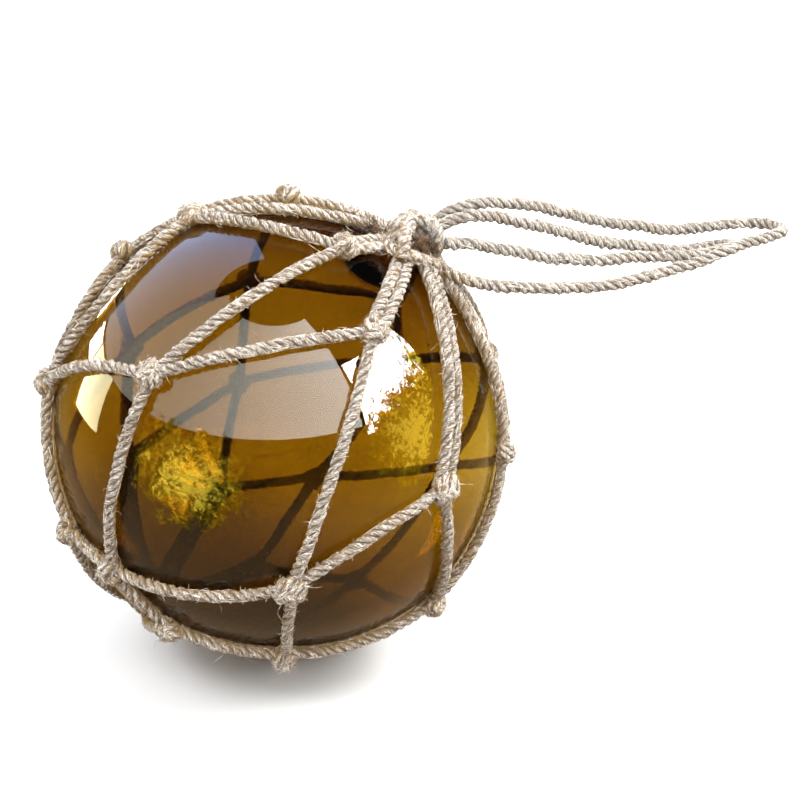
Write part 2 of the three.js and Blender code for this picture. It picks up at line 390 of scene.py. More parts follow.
def jute_recipe():
    jute = Recipe("jute")
    fibre = jute.node("ShaderNodeAttribute", {"attribute_name": "fibre"}, output=1)
    proud, shade = jute.number("proud"), jute.number("shade")
    place = jute.node("ShaderNodeTexCoord", output=3)
    facing = jute.node("ShaderNodeNewGeometry", output=1)
    from_centre = jute.vector("SUBTRACT", place, tuple(CENTRE))
    outside = jute.vector("DOT_PRODUCT", facing, jute.vector("NORMALIZE", from_centre), output=1)
    distance = jute.vector("LENGTH", from_centre, output=1)
    by_the_glass = 1 - jute.between(distance, RADIUS + 5 * MM, RADIUS + 11 * MM)

    coarse = jute.between(jute.noise(1, 1, jute.stretched(fibre, (1.3, 1.3, 0.4))), 0.4, 0.6)
    fine = jute.between(jute.noise(1, 2, jute.stretched(fibre, (3.0, 3.0, 1.3))), 0.4, 0.6)
    flecks = jute.between(jute.noise(1, 2, jute.stretched(fibre, (1.9, 1.9, 1.1))), 0.54, 0.6)
    patch = jute.noise(150, 2, place)

    streak = coarse * 0.3 + fine * 0.7
    tone = streak * 0.9 + shade * 0.12 + (patch - 0.5) * 0.7
    colour = jute.mix(jute.between(tone, 0.1, 1.0), DARK_JUTE, PALE_JUTE)
    # painted shade: the grooves between strands are coloured darker brown, where shade falls between
    # them
    painted_groove_shade = 1 - jute.between(proud + streak * 0.2 - 0.1, 0.66, 0.93)
    colour = jute.mix(painted_groove_shade * 0.82, colour, GROOVE_SHADE_PAINT)
    colour = jute.mix(flecks * 0.7, colour, FLECK)
    # painted amber light and painted shade, on the sides of the cord near the ball that face it
    painted_glass_light_and_shade = (1 - jute.between(outside + patch * 0.4, -0.1, 0.82)) * by_the_glass
    colour = jute.mix(painted_glass_light_and_shade * 0.88, colour, AMBER_LIGHT_AND_SHADE_PAINT)
    in_the_open = 1 - by_the_glass
    colour = jute.mix(in_the_open * 0.15, colour, WEATHERED)
    relief = {"Strength": 1.0, "Distance": 0.4 * MM, "Height": streak - flecks * 0.6}
    return jute.surface(
        {
            "Base Color": colour,
            "Roughness": 0.95,
            "Normal": jute.node("ShaderNodeBump", None, relief),
            "Specular IOR Level": 0.2,
            "Sheen Weight": 0.15,
            "Sheen Roughness": 0.5,
        }
    )


JUTE = jute_recipe()
print(JUTE.name, "has", len(JUTE.node_tree.nodes), "nodes")


# %% [markdown]
# ## The hanging loops
# Two ends of cord come out of the crown knot, run out to the right and turn back into it. A
# cord could be simulated, but this one is stiff and short and stands out on its own, so it
# follows listed points: those of the CAD solids, in millimetres from the middle of the ball.

# %% Make the two loops
OUTER_LOOP = [
    (43, 4.5, 58.5), (46, 4.5, 61), (50, 5, 62.5), (57, 7, 63.5), (64, 10, 62.5),
    (71.5, 13, 61), (78.5, 17, 58.5), (86.5, 21, 55.5), (94, 25, 53), (102, 28, 51.5),
    (109.5, 31, 49.5), (117.5, 34, 49), (125, 37, 49), (133, 40, 49),
    (138.5, 40.5, 49), (142.5, 38, 49), (144, 33.5, 49), (142.5, 29, 49),
    (138.5, 26, 48.5), (133, 23, 48), (126, 19.5, 46.5), (118.5, 17, 44),
    (111.5, 15.5, 42.5), (104, 13, 41), (96.5, 10, 40), (89, 7.5, 39.5),
    (81.5, 5, 40), (74.5, 2.5, 40.5), (67.5, 0, 41.5), (60, -2, 42.5),
    (53.5, -4, 44.5), (47.5, -5.5, 47), (44, -5.5, 49.5),
]
INNER_LOOP = [
    (44.5, 0.5, 58.5), (48, 1, 60), (53.5, 2, 61), (60, 5, 60), (67.5, 8, 57.5),
    (75, 12, 55), (82.5, 16, 52), (90, 20, 49), (102, 26, 46), (109.5, 29.5, 44),
    (117.5, 33, 43), (122.5, 34.5, 43.5), (126.5, 33.5, 44.5), (129, 30, 45.5),
    (128, 26, 45.5), (124.5, 23, 45.5), (119, 21, 45), (113.5, 19.5, 45),
    (108, 18.5, 45), (101, 16.5, 45.5), (89.5, 13, 45.5), (82, 10.5, 46.5),
    (75, 8, 47.5), (67.5, 5, 50), (60, 2, 52), (53.5, -1, 54), (46, -3.5, 55),
]
ALL_ROUTES = []  # every cord's route, diameter and fuzziness, for the loose fibres later


def hanging_loop(points, name, node):
    route = smooth_through([CENTRE + Vector(p) * MM for p in points])
    cord = piece_from([lay_cord(route, CORD, lay=2.3, shade=0.3)], name, JUTE)
    path, length = evenly(route, CORD)
    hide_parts(node)
    ALL_ROUTES.append((route, CORD, 0.6))
    print(name, "is", round(length * 1000), "mm long")


hanging_loop(OUTER_LOOP, "loop_cord_outer", "hanging_loop_outer")
hanging_loop(INNER_LOOP, "loop_cord_inner", "hanging_loop_inner")

# %% [markdown]
# ## The glass
# The float is blown: an outer and an inner skin, 1 to 2 mm apart over most of it, closed by a
# button of glass pressed on where the iron was. A solid ball of glass would turn the view behind
# it upside down like a lens, so the wall has to be real. The wall wanders in thickness a little,
# which makes the reflections of the inside swim. Small bubbles are sealed in the wall.

# %% Places on the ball
LEAN = math.radians(35)
CROWN = Vector((math.sin(LEAN), 0, math.cos(LEAN)))
LOW_SIDE = Vector((math.cos(LEAN), 0, -math.sin(LEAN)))
BACK_SIDE = Vector((0, 1, 0))


def outward(down, around):
    """The direction of a place on the ball: degrees down from the crown, and round it."""
    down, around = math.radians(down), math.radians(around)
    level = LOW_SIDE * math.cos(around) + BACK_SIDE * math.sin(around)
    return CROWN * math.cos(down) + level * math.sin(down)


print("the crown leans", round(math.degrees(LEAN)), "degrees to the right")

# %% Shape the wall
WALL = 1.7 * MM
THICK_FOOT = 0.4 * MM  # how much thicker the wall is at the foot of the ball than half-way up
THICK_CROWN = 1.15 * MM  # how much it gains again close to the crown, round the seal
THIN_SIDES = 1.0 * MM  # how much thinner it is at the far right and left
SEAL = outward(17, 244)
SEAL_WIDTH = math.radians(6)


def on_the_seal(direction):
    """1 on the button of glass that seals the ball, and 0 off it."""
    return math.exp(-((direction.angle(SEAL) / SEAL_WIDTH) ** 4))


def outer_skin(direction):
    """How far the outer skin lies from the middle of the ball."""
    wobble = noise.noise(direction * 2.2 + Vector((3, 1, 7))) * 0.05 * MM
    return RADIUS + wobble + on_the_seal(direction) * 0.35 * MM


def wall_thickness(direction):
    """Blown glass sinks towards the foot and stays thick where the iron held it.
    Where the sides were swung out they have drawn thin."""
    height = direction.dot(CROWN)
    seal = on_the_seal(direction) * 2.2 * MM
    wobble = noise.noise(direction * 1.9 + Vector((8, 2, 5))) * 0.25 * MM
    drawn = abs(direction.x) ** 3 * THIN_SIDES
    return WALL - THICK_FOOT * height + THICK_CROWN * max(0, height) ** 4 + wobble + seal - drawn


for side, direction in (("crown", CROWN), ("foot", -CROWN), ("side", Vector((1, 0, 0)))):
    print("the wall at the", side, "is", round(wall_thickness(direction) / MM, 1), "mm")


# %% Blow the ball
def skin(bm, depth, inside):
    """One skin of the wall, made from a ball of unit size by moving its points out."""
    made = bmesh.ops.create_icosphere(bm, subdivisions=6, radius=1)["verts"]
    for vert in made:
        direction = vert.co.normalized()
        vert.co = CENTRE + direction * (outer_skin(direction) - depth(direction))
    if inside:
        bmesh.ops.reverse_faces(bm, faces=list({f for v in made for f in v.link_faces}))


def bubble(bm, place, size, tilt):
    """A pocket of air in the wall, drawn out a little by the blowing."""
    shape = Matrix.LocRotScale(place, tilt, Vector((1, 1, 1.7)) * size)
    made = bmesh.ops.create_icosphere(bm, subdivisions=2, radius=1, matrix=shape)["verts"]
    bmesh.ops.reverse_faces(bm, faces=list({f for v in made for f in v.link_faces}))


BUBBLES = 70
bm = bmesh.new()
skin(bm, lambda direction: 0, False)
skin(bm, wall_thickness, True)
dice = random.Random(11)
for _ in range(BUBBLES):
    near_crown = dice.random() < 0.5
    down = dice.uniform(12, 40) if near_crown else dice.uniform(20, 165)
    direction = outward(down, dice.uniform(0, 360))
    depth = dice.uniform(0.6, 1.1) * MM
    size = dice.uniform(0.12, 0.3) * MM
    depth = min(depth, wall_thickness(direction) - 1.4 * size)
    tilt = direction.to_track_quat("Y", "Z")
    bubble(bm, CENTRE + direction * (RADIUS - depth), size, tilt)
print("two skins and", BUBBLES, "bubbles have", len(bm.faces), "faces")


# %% Mix the amber glass
AMBER = (0.756, 0.6535, 0.03, 1)
AMBER_DEPTH = 2600  # how strongly a metre of the glass takes out the colour it takes out most


def glass_recipe():
    glass = Recipe("amber glass")
    place = glass.node("ShaderNodeTexCoord", output=3)
    waves = {"Strength": 0.05, "Distance": 1 * MM, "Height": glass.noise(28, 2, place)}
    clear = {
        "Base Color": (1, 1, 1, 1),
        "Roughness": 0.0,
        "IOR": 1.5,
        "Transmission Weight": 1.0,
        "Normal": glass.node("ShaderNodeBump", None, waves),
    }
    shader = glass.node("ShaderNodeBsdfPrincipled", None, clear)
    tint = {"Color": AMBER, "Density": AMBER_DEPTH}
    amber = glass.node("ShaderNodeVolumeAbsorption", None, tint)
    glass.node("ShaderNodeOutputMaterial", None, {"Surface": shader, "Volume": amber})
    return glass.finish


glass_ball = piece_from([mesh_of(bm, "glass")], "blown_glass", glass_recipe())
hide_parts("glass_ball")

# %% [markdown]
# ## The net
# The net is knotted by hand from the crown down. It could be draped over the ball by a
# simulation, but a tight net only follows the glass. So each knot's place is the CAD solid's own,
# in degrees down from the crown and round it, and each cord goes the shortest way over the glass
# between two knots, a little bowed where the meshes are slack. Paired cords come from the crown.

# %% List the knots and cords
KNOTS = {
    # first row, hung from the crown by paired cords
    "top_back_left": (34, 155),
    "top_left": (24, 229),
    "top_front": (39, 268),
    "front_right": (65, 308),
    "right": (56, 343),
    "back_right": (45, 30),
    "back": (50, 76),
    # second row
    "shoulder": (55, 178),
    "shoulder_back": (75, 173),
    "front_left": (80, 229),
    "front_low": (101, 285),
    "right_low": (98, 337),
    "back_right_low": (84, 34),
    "back_middle": (70, 64),
    "back_left": (75, 114),
    # third row
    "left": (108, 191),
    "left_low": (130, 245),
    "under_front": (125, 305),
    "under_right": (123, 22),
    "back_low_right": (113, 63),
    "back_low": (104, 98),
    "back_low_left": (107, 134),
    # fourth row, tied down to the start ring by paired cords
    "under_left": (134, 222),
    "under_front_left": (138, 271),
    "underside": (145, 0),
    "under_back_right": (144, 50),
    "under_back": (133, 86),
    "under_back_left": (136, 126),
    "under_far_left": (136, 165),
}
# knot, place round the crown, cords side by side, bow in degrees
CROWN_CORDS = [
    ("top_back_left", 115, 2, -4),
    ("shoulder", 186, 1, 3.5),
    ("top_left", 225, 2, 0),
    ("top_front", 250, 2, 0),
    ("front_right", 292, 2, -1.5),
    ("right", 352, 2, -1),
    ("back_right", 30, 2, 0),
    ("back", 76, 2, 0),
]
# from knot to knot, bow in degrees
NET_CORDS = [
    ("top_left", "front_left", 1.6),
    ("top_left", "shoulder", 4),
    ("top_front", "front_left", 1),
    ("top_front", "front_low", -1.5),
    ("front_right", "front_low", -2.5),
    ("front_right", "right_low", -1),
    ("right", "right_low", 0),
    ("right", "back_right_low", 0),
    ("back_right", "back_right_low", 0),
    ("back_right", "back_middle", 0),
    ("back", "back_middle", 0),
    ("back", "back_left", -3),
    ("top_back_left", "back_left", 0),
    ("top_back_left", "shoulder_back", 0),
    ("shoulder", "shoulder_back", -2),
    ("shoulder", "left", 11),
    ("shoulder_back", "left", 6),
    ("shoulder_back", "back_low_left", 0),
    ("front_left", "left", -2),
    ("front_left", "left_low", 0),
    ("front_low", "left_low", 1),
    ("front_low", "under_front", 0),
    ("right_low", "under_front", 0),
    ("right_low", "under_right", 0),
    ("back_right_low", "under_right", 0),
    ("back_right_low", "back_low_right", 0),
    ("back_middle", "back_low_right", 0),
    ("back_middle", "back_low", 0),
    ("back_left", "back_low", 0),
    ("back_left", "back_low_left", 0),
    ("left", "under_left", 0),
    ("left_low", "under_left", 0),
    ("left_low", "under_front_left", 0),
    ("under_front", "under_front_left", 0),
    ("under_front", "underside", 0),
    ("under_right", "underside", 0),
    ("under_right", "under_back_right", 0),
    ("back_low_right", "under_back_right", 0),
    ("back_low_right", "under_back", 0),
    ("back_low", "under_back", 0),
    ("back_low", "under_back_left", 0),
    ("back_low_left", "under_back_left", 0),
    ("back_low_left", "under_far_left", 0),
    ("left", "under_far_left", 0),
]
LAST_ROW = [
    "under_left", "under_front_left", "underside", "under_back_right",
    "under_back", "under_back_left", "under_far_left",
]
print(len(KNOTS), "knots,", len(NET_CORDS), "single cords")

# %% Route the cords over the glass
CORD_HEIGHT = CORD / 2 + 0.05 * MM
wander = random.Random(5)


def route_over(start, end, bow, height=lambda t: CORD_HEIGHT, shift=0.0, steps=24):
    """A route over the glass from one direction to another, shift metres to one side."""
    sideways = start.cross(end).normalized()
    angle = start.angle(end)
    phase = wander.uniform(0, 100)
    route = []
    for i in range(steps + 1):
        t = i / steps
        turned = Matrix.Rotation(angle * t, 3, sideways) @ start
        lift = math.tan(math.radians(bow)) * math.sin(math.pi * t)
        direction = (turned + sideways * lift).normalized()
        sway = noise.noise(Vector((phase, t * angle * 5, 0))) * 0.35 * MM * math.sin(math.pi * t)
        place = CENTRE + direction * (RADIUS + height(t)) + sideways * (shift + sway)
        route.append(place)
    return route


GLASS_TOP = RADIUS + 0.08 * MM  # nothing of the net goes below this, into the glass


def pressed_flat(mesh):
    """Cord is pressed flat where it is pulled tight on the glass, and where the ball lies on it."""
    for vert in mesh.vertices:
        out = vert.co - CENTRE
        if out.length < GLASS_TOP:
            vert.co = CENTRE + out.normalized() * GLASS_TOP
        vert.co.z = max(vert.co.z, 0.0)
    return mesh


NET = {"net_crown": [], "net_upper_meshes": [], "net_lower_meshes": []}
HALFWAY = 109  # degrees down from the crown, where the upper piece of the net gives way to the lower
PAIR_GAP = 0.88  # between paired cords, in diameters
LAST_PAIR_GAP = 0.97
RING_ANGLE = 169  # how far down the paired cords of the last row end, in the start ring


def add_cord(group, route, diameter=LAID, fuzz=1.0):
    mesh = lay_cord(route, diameter, wander.uniform(2.15, 2.4), wander.random())
    NET[group].append(pressed_flat(mesh))
    ALL_ROUTES.append((route, diameter, fuzz))


def climbing(t):
    """Cords climb over each other as they are drawn together under the crown knot."""
    return CORD_HEIGHT + 2.2 * MM * max(0, 1 - t * 2.6) ** 2


for knot, around, count, bow in CROWN_CORDS:
    for i in range(count):
        shift = (i - (count - 1) / 2) * CORD * PAIR_GAP
        route = route_over(outward(4, around), outward(*KNOTS[knot]), bow, climbing, shift)
        add_cord("net_crown", route)
for start, end, bow in NET_CORDS:
    route = route_over(outward(*KNOTS[start]), outward(*KNOTS[end]), bow)
    lowest = max(KNOTS[start][0], KNOTS[end][0])
    add_cord("net_upper_meshes" if lowest < HALFWAY else "net_lower_meshes", route)
for knot in LAST_ROW:
    start, end = outward(*KNOTS[knot]), outward(RING_ANGLE, KNOTS[knot][1])
    for side in (-0.5, 0.5):
        route = route_over(start, end, 0, shift=side * CORD * LAST_PAIR_GAP)
        add_cord("net_lower_meshes", route)
print(sum(len(meshes) for meshes in NET.values()), "lengths of cord")

# %% [markdown]
# ## The knots
# Each knot of the net is two or three tight turns of the same cord round the cords that meet
# in it. A lump would do at a distance, but the turns catch the light, so each knot is made as
# one is tied: a coil round the cords, and a turn that crosses over it.

# %% Tie the knots
# how the knots at the front were pulled tight: the slope of the coil's axis in degrees from
# level, the turns, the coil's length in millimetres and how far its middle stands off the glass
HAND_TIED = {
    "front_left": (28, 2, 3.6, 2.7),
    "top_front": (58, 2, 3.4, 2.8),
    "front_right": (12, 3, 5.4, 2.8),
    "front_low": (4, 3, 6.6, 2.8),
    "right": (80, 2, 3.6, 1.7),
}


def coil(centre, axis, out, half_across, half_proud, turns, rise, steps):
    """A coil of turns round an axis, flattened towards the glass, its ends tucked under."""
    side = axis.cross(out)
    route = []
    for i in range(steps + 1):
        t = i / steps
        angle = math.tau * turns * t - math.pi / 2
        tuck = 1 - 0.35 * abs(2 * t - 1) ** 6
        along = axis * (t - 0.5) * rise
        route.append(
            centre
            + along
            + side * math.cos(angle) * half_across * tuck
            + out * math.sin(angle) * half_proud * tuck
        )
    return route


def tie_knot(name, group):
    out = outward(*KNOTS[name])
    downhill = (CROWN - out * CROWN.dot(out)).normalized() * -1
    slant = wander.choice((-1, 1)) * wander.uniform(0.35, 0.8)
    axis = Matrix.Rotation(slant, 3, out) @ downhill
    size = wander.uniform(0.94, 1.06)
    turns, rise, proud = 2, 3.2, 2.7
    if name in HAND_TIED:
        slope, turns, rise, proud = HAND_TIED[name]
        axis = Vector((math.cos(math.radians(slope)), 0, math.sin(math.radians(slope))))
        axis = (axis - out * axis.dot(out)).normalized()
    middle = CENTRE + out * (RADIUS + proud * MM)
    tight = CORD * 0.9
    wrapped = coil(middle, axis, out, 2.5 * MM * size, 1.75 * MM, turns, rise * MM, 13 * turns)
    add_cord(group, wrapped, tight, 2.5)
    crossing = Matrix.Rotation(wander.uniform(1.2, 1.7), 3, out) @ axis
    over = coil(middle + downhill * 0.8 * MM, crossing, out, 2.2 * MM, 2.1 * MM, 1, 1.2 * MM, 16)
    add_cord(group, over, tight, 2.5)


for name, (down, around) in KNOTS.items():
    tie_knot(name, "net_upper_meshes" if down < HALFWAY else "net_lower_meshes")
print(len(KNOTS), "knots tied,", len(HAND_TIED), "of them by hand")

# %% [markdown]
# ## The crown knot
# The cords of the first row are gathered at the crown and tied off in one big knot: a collar round
# the gathered cords, a body of turns on top, two thick bights that arch over it from the front
# with a hollow under them, and a band across its foot. Coils make the turns. The rest goes
# through listed points, in millimetres to the low side, to the back and up along the
# crown's axis, because no formula ties a knot.

# %% Tie the crown knot
CROWN_MIDDLE = CENTRE + CROWN * (RADIUS + 5 * MM)


def at_crown(x, y, z):
    return CROWN_MIDDLE + (LOW_SIDE * x + BACK_SIDE * y + CROWN * z) * MM


low = CROWN_MIDDLE - CROWN * 2.2 * MM
collar = coil(low, CROWN, BACK_SIDE, 7.2 * MM, 7.2 * MM, 1.6, 2.4 * MM, 40)
heart = CROWN_MIDDLE + (CROWN * 0.6 + BACK_SIDE * 1.6) * MM
body_low = coil(heart, CROWN, BACK_SIDE, 3.8 * MM, 3.4 * MM, 2.2, 4 * MM, 50)
tilted = Matrix.Rotation(math.radians(75), 3, LOW_SIDE) @ CROWN
body_high = coil(heart, tilted, LOW_SIDE, 3.2 * MM, 3.5 * MM, 2.2, 4.2 * MM, 50)
ARCHES = [
    [
        (-3, -17, -3.6), (-3.9, -14.3, -0.4), (-4.8, -10.5, 0.8), (-5, -7, 2.2), (-4.4, -4.6, 4.4),
        (-2, -3.6, 5.8), (1.4, -3.4, 5.8), (4.1, -3.4, 4.0), (5.5, -3, 1.2), (5.3, -1.5, -1.8),
    ],
    [
        (-4, -8.5, -4.2), (-5.8, -6, -1.5), (-6.7, -3, 0.8), (-6, -0.8, 3.4), (-3.4, 0.2, 5.2),
        (0, 0.4, 6), (3.3, 0.2, 4.8), (5.5, 1, 2.2), (5.5, 2.4, -1),
    ],
]
BAND = [
    (7.6, -5.5, -1.7), (5.6, -9, -1.3), (2.5, -11.6, -1.5), (-1.2, -13.6, -1.9),
    (-4.4, -14.2, -2.8), (-7, -12, -3.6), (-8.4, -8, -4.0),
]
for route in (collar, body_low, body_high):
    add_cord("net_crown", route, CORD * 0.98, 2.0)
for arch in ARCHES:
    add_cord("net_crown", smooth_through([at_crown(*p) for p in arch]), CORD * 1.03, 2.0)
add_cord("net_crown", smooth_through([at_crown(*p) for p in BAND]), LAID, 3.0)
print("the crown knot has", 4 + len(ARCHES), "lengths of cord")

# %% Tie the start ring under the ball
foot = -CROWN
ring_middle = CENTRE + foot * (RADIUS * math.cos(math.radians(9)) + 2.2 * MM)
ring = coil(ring_middle, foot, LOW_SIDE, 10.2 * MM, 10.2 * MM, 2.1, 2.2 * MM, 60)
add_cord("net_lower_meshes", ring)

for name, meshes in NET.items():
    piece = piece_from(meshes, name, JUTE)
    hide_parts("jute_net")

# %% [markdown]
# ## Loose fibres
# Jute sheds. Some fibres have worked out of the lay and lie along the cord, and others stand
# off it and catch the light, more at the knots, where the cord has been worked. A hair system
# could make them, but it would not be a mesh that can be kept. Each one here is a thin tapered
# curve of a few segments, and all of one kind are turned into one mesh.

# %% Grow one fibre of each kind
def spot_on(dice, points, first, second):
    """A place along the cord at random, a way out of it there, and the way along it."""
    i = dice.randrange(1, len(points) - 1)
    around = dice.uniform(0, math.tau)
    off = Vector(first[i] * math.cos(around) + second[i] * math.sin(around))
    along = Vector(points[i + 1] - points[i - 1]).normalized()
    return Vector(points[i]), off, along


def lying_fibre(dice, points, first, second, diameter):
    """A fibre that has worked loose but still lies along the cord."""
    reach = dice.randint(4, 9)
    i = dice.randrange(0, max(1, len(points) - 3 * reach))
    angle = dice.uniform(0, math.tau)
    turn = math.tau / (2.4 * diameter) * dice.uniform(-0.1, 0.9) * 0.5 * MM
    lift = dice.uniform(0.0, 0.2) * MM
    fibre = []
    for k in range(4):
        at = min(i + k * reach, len(points) - 1)
        around = angle + turn * k * reach
        out = first[at] * math.cos(around) + second[at] * math.sin(around)
        height = diameter * 0.46 + lift * math.sin(math.pi * k / 3)
        fibre.append(Vector(points[at] + out * height))
    return fibre


def standing_fibre(dice, points, first, second, diameter):
    """A fibre that stands off the cord and curls."""
    middle, off, along = spot_on(dice, points, first, second)
    heading = (off + along * dice.choice((-1, 1)) * dice.uniform(0.4, 1.8)).normalized()
    reach = dice.choice((0.8, 1, 1, 1.6, 2.8)) * dice.uniform(0.8, 1.7) * MM
    curl = Vector(dice.uniform(-1, 1) for _ in range(3)) * 0.9
    place = middle + off * diameter * 0.42
    fibre = []
    for _ in range(4):
        fibre.append(place.copy())
        heading = (heading + curl * 0.5).normalized()
        place += heading * reach / 3
    return fibre


def nap(dice, points, first, second, diameter, longest=1.3 * MM):
    """A fibre of the short nap that stands up all over a cord."""
    middle, off, along = spot_on(dice, points, first, second)
    aside = along.cross(off) * dice.uniform(-1.2, 1.2)
    heading = (off + along * dice.uniform(-1.6, 1.6) + aside).normalized()
    reach = dice.uniform(0.35, 1) * longest
    place = middle + off * diameter * 0.43
    return [place, place + heading * reach * 0.5, place + (heading - off * 0.25) * reach]


def long_nap(*cord):
    """The same on a knot, where the cord has been worked and more has come out of it."""
    return nap(*cord, longest=2.0 * MM)


print(len(ALL_ROUTES), "lengths of cord for them to grow on")

# %% Draw fibres as one mesh
def three_sided(thickness):
    """The outline that every fibre is drawn out from."""
    outline = bpy.data.curves.new("fibre outline", "CURVE")
    corners = outline.splines.new("POLY")
    corners.points.add(2)
    for k in range(3):
        angle = math.tau * k / 3
        corners.points[k].co = (math.cos(angle) * thickness, math.sin(angle) * thickness, 0, 1)
    corners.use_cyclic_u = True
    return in_scene("fibre outline", outline)


def draw_fibres(name, fibres, thickness, taper, material):
    """One mesh of many fibres, each drawn out along its own bends."""
    curves = bpy.data.curves.new(name, "CURVE")
    curves.dimensions = "3D"
    curves.bevel_mode = "OBJECT"
    curves.bevel_object = three_sided(thickness)
    curves.use_fill_caps = True
    for bends in fibres:
        spline = curves.splines.new("POLY")
        spline.points.add(len(bends) - 1)
        for k, place in enumerate(bends):
            if (place - CENTRE).length < GLASS_TOP:
                place = CENTRE + (place - CENTRE).normalized() * GLASS_TOP
            place.z = max(place.z, 0.08 * MM)
            spline.points[k].co = (*place, 1)
            spline.points[k].radius = 1 - taper * k
    shape = in_scene(name + "_curves", curves)
    drawn = shape.evaluated_get(bpy.context.evaluated_depsgraph_get())
    mesh = bpy.data.meshes.new_from_object(drawn)
    bpy.data.objects.remove(curves.bevel_object)
    bpy.data.objects.remove(shape)
    mesh.materials.clear()
    piece_from([mesh], name, material)


print("each fibre is pushed out of the glass and up from the floor")

# %% Grow them along the cords
WORKED = 1.5  # cords fuzzier than this are in knots


def along_the_cords(make, gap, in_knots=None):
    """One kind of fibre, grown at random along every cord, or only in or out of the knots."""
    dice = random.Random(23)
    fibres = []
    for route, diameter, fuzziness in ALL_ROUTES:
        if in_knots is not None and in_knots != (fuzziness > WORKED):
            continue
        points, length = evenly(route, 0.5 * MM)
        first, second = frames_along(points)
        for _ in range(int(length / gap * fuzziness)):
            fibres.append(make(dice, points, first, second, diameter))
    return fibres


def fibre_recipe(name, dark, pale):
    straw = Recipe(name)
    place = straw.node("ShaderNodeTexCoord", output=3)
    patch = straw.between(straw.noise(420, 1, place), 0.38, 0.62)
    colour = straw.mix(patch, (*dark, 1), (*pale, 1))
    return straw.surface({"Base Color": colour, "Roughness": 0.7, "Specular IOR Level": 0.3})


STRAW = fibre_recipe("loose jute fibre", (0.27, 0.16, 0.075), (0.92, 0.87, 0.78))
draw_fibres("lying_fibres", along_the_cords(lying_fibre, 1.1 * MM), 0.085 * MM, 0.1, STRAW)
draw_fibres("loose_fibres", along_the_cords(standing_fibre, 1.8 * MM), 0.07 * MM, 0.2, STRAW)
draw_fibres("cord_nap", along_the_cords(nap, 0.5 * MM, False), 0.085 * MM, 0.25, STRAW)
draw_fibres("knot_nap", along_the_cords(long_nap, 0.37 * MM, True), 0.075 * MM, 0.3, STRAW)

# %% [markdown]
# ### Cut ends
# Where a cord was joined or trimmed, its end has come unlaid into a small brush of fibres. They
# are coloured near-black brown as painted shade, and the biggest fill the hollow of the crown knot,
# where shade falls. A bundle of the same fibres, spread at random round one heading, makes each one.

# %% Fray the cut ends
def over_knot(name, height):
    return CENTRE + outward(*KNOTS[name]) * (RADIUS + height * MM)


def cut_end(dice, place, heading, count, reach, spread):
    """A brush of fibres. reach and spread are in millimetres."""
    fibres = []
    for _ in range(count):
        aim = (heading + Vector(dice.gauss(0, 0.4) for _ in range(3))).normalized()
        root = place + Vector(dice.gauss(0, 1) for _ in range(3)) * spread * MM
        curl = Vector(dice.uniform(-1, 1) for _ in range(3)) * 0.5
        far = reach * dice.uniform(0.5, 1.2) * MM
        fibres.append([root + (aim * t + curl * t * t) * far for t in (0, 0.33, 0.67, 1)])
    return fibres


FRONT = -BACK_SIDE
dice = random.Random(31)
cut_ends = []
for place, heading, count, reach, spread in (
    (at_crown(0.3, -8.3, 1.5), FRONT * 0.8 + LOW_SIDE * 0.4 - CROWN * 0.6, 480, 2.2, 1.1),
    (at_crown(3.4, -6, 2.2), FRONT + LOW_SIDE * 0.6 - CROWN * 0.4, 120, 2.2, 0.9),
    (at_crown(-2.4, -9.8, -4), FRONT * 0.8 - CROWN * 0.9, 60, 2.6, 1.0),
    (at_crown(-11.5, -5, -3), FRONT * 0.6 - LOW_SIDE, 70, 4.5, 1.0),
    (over_knot("top_left", 3.2), FRONT - LOW_SIDE * 0.8, 40, 3.6, 0.6),
    (over_knot("front_low", 3), LOW_SIDE * 0.4 - CROWN, 26, 2.6, 1.0),
):
    cut_ends += cut_end(dice, place, heading.normalized(), count, reach, spread)
print(len(cut_ends), "fibres in the cut ends")
# painted shade: the cut ends are coloured near-black brown so that the crown knot's hollow reads
# dark
SHADE_PAINTED_FIBRE = fibre_recipe("jute fibre painted near-black as shade", (0.012, 0.006, 0.004), (0.16, 0.09, 0.045))
draw_fibres("cut_ends", cut_ends, 0.1 * MM, 0.2, SHADE_PAINTED_FIBRE)

# %% [markdown]
# ## Studio
# The ball lies on a wide pale floor in soft light: a pale sky all round, the main softbox high
# on the right and other ones low behind, on the left and in front. They light the cord,
# and the glass doesn't mirror them. Glass shows little of its own, so most of its look is what
# it mirrors: a few cards hang round it that nothing else sees, pale ones for windows and two
# gold ones that break up into leaves, and a dark mat behind the ball, a painted shadow that only
# the glass shows, gives its far wall depth.

# %% Lay the floor
def floor_recipe():
    """Pale grey round the ball, where the lamps are, and paler further out."""
    floor = Recipe("pale floor")
    place = floor.node("ShaderNodeTexCoord", output=3)
    distance = floor.vector("LENGTH", place, output=1)
    pale = floor.mix(floor.between(distance, 0.3, 2), (0.62, 0.62, 0.62, 1), (0.9, 0.9, 0.9, 1))
    return floor.surface({"Base Color": pale, "Roughness": 0.7})


def staged(bm, name, material):
    """An object of the studio, which isn't part of the float."""
    mesh = mesh_of(bm, name)
    mesh.materials.append(material)
    made = in_scene(name, mesh)
    return made


bm = bmesh.new()
bmesh.ops.create_circle(bm, cap_ends=True, segments=96, radius=3)
floor = staged(bm, "floor", floor_recipe())
print("the floor has", len(floor.data.vertices), "corners")


# %% Light it
def towards(around, up, distance):
    """A place seen from the ball: degrees round from the front, and degrees up."""
    around, up = math.radians(around), math.radians(up)
    level = Vector((math.sin(around), -math.cos(around), 0)) * math.cos(up)
    return (level + Vector((0, 0, math.sin(up)))) * distance


def softbox(name, place, size, watts, colour):
    """A square soft light that faces the ball."""
    light = bpy.data.lights.new(name, "AREA")
    light.shape = "RECTANGLE"
    light.size, light.size_y = size
    light.energy = watts
    light.color = colour
    holder = in_scene(name, light)
    holder.location = CENTRE + Vector(place)
    holder.rotation_mode = "QUATERNION"
    holder.rotation_quaternion = Vector(place).to_track_quat("Z", "Y")
    holder.visible_glossy = False
    holder.visible_transmission = False


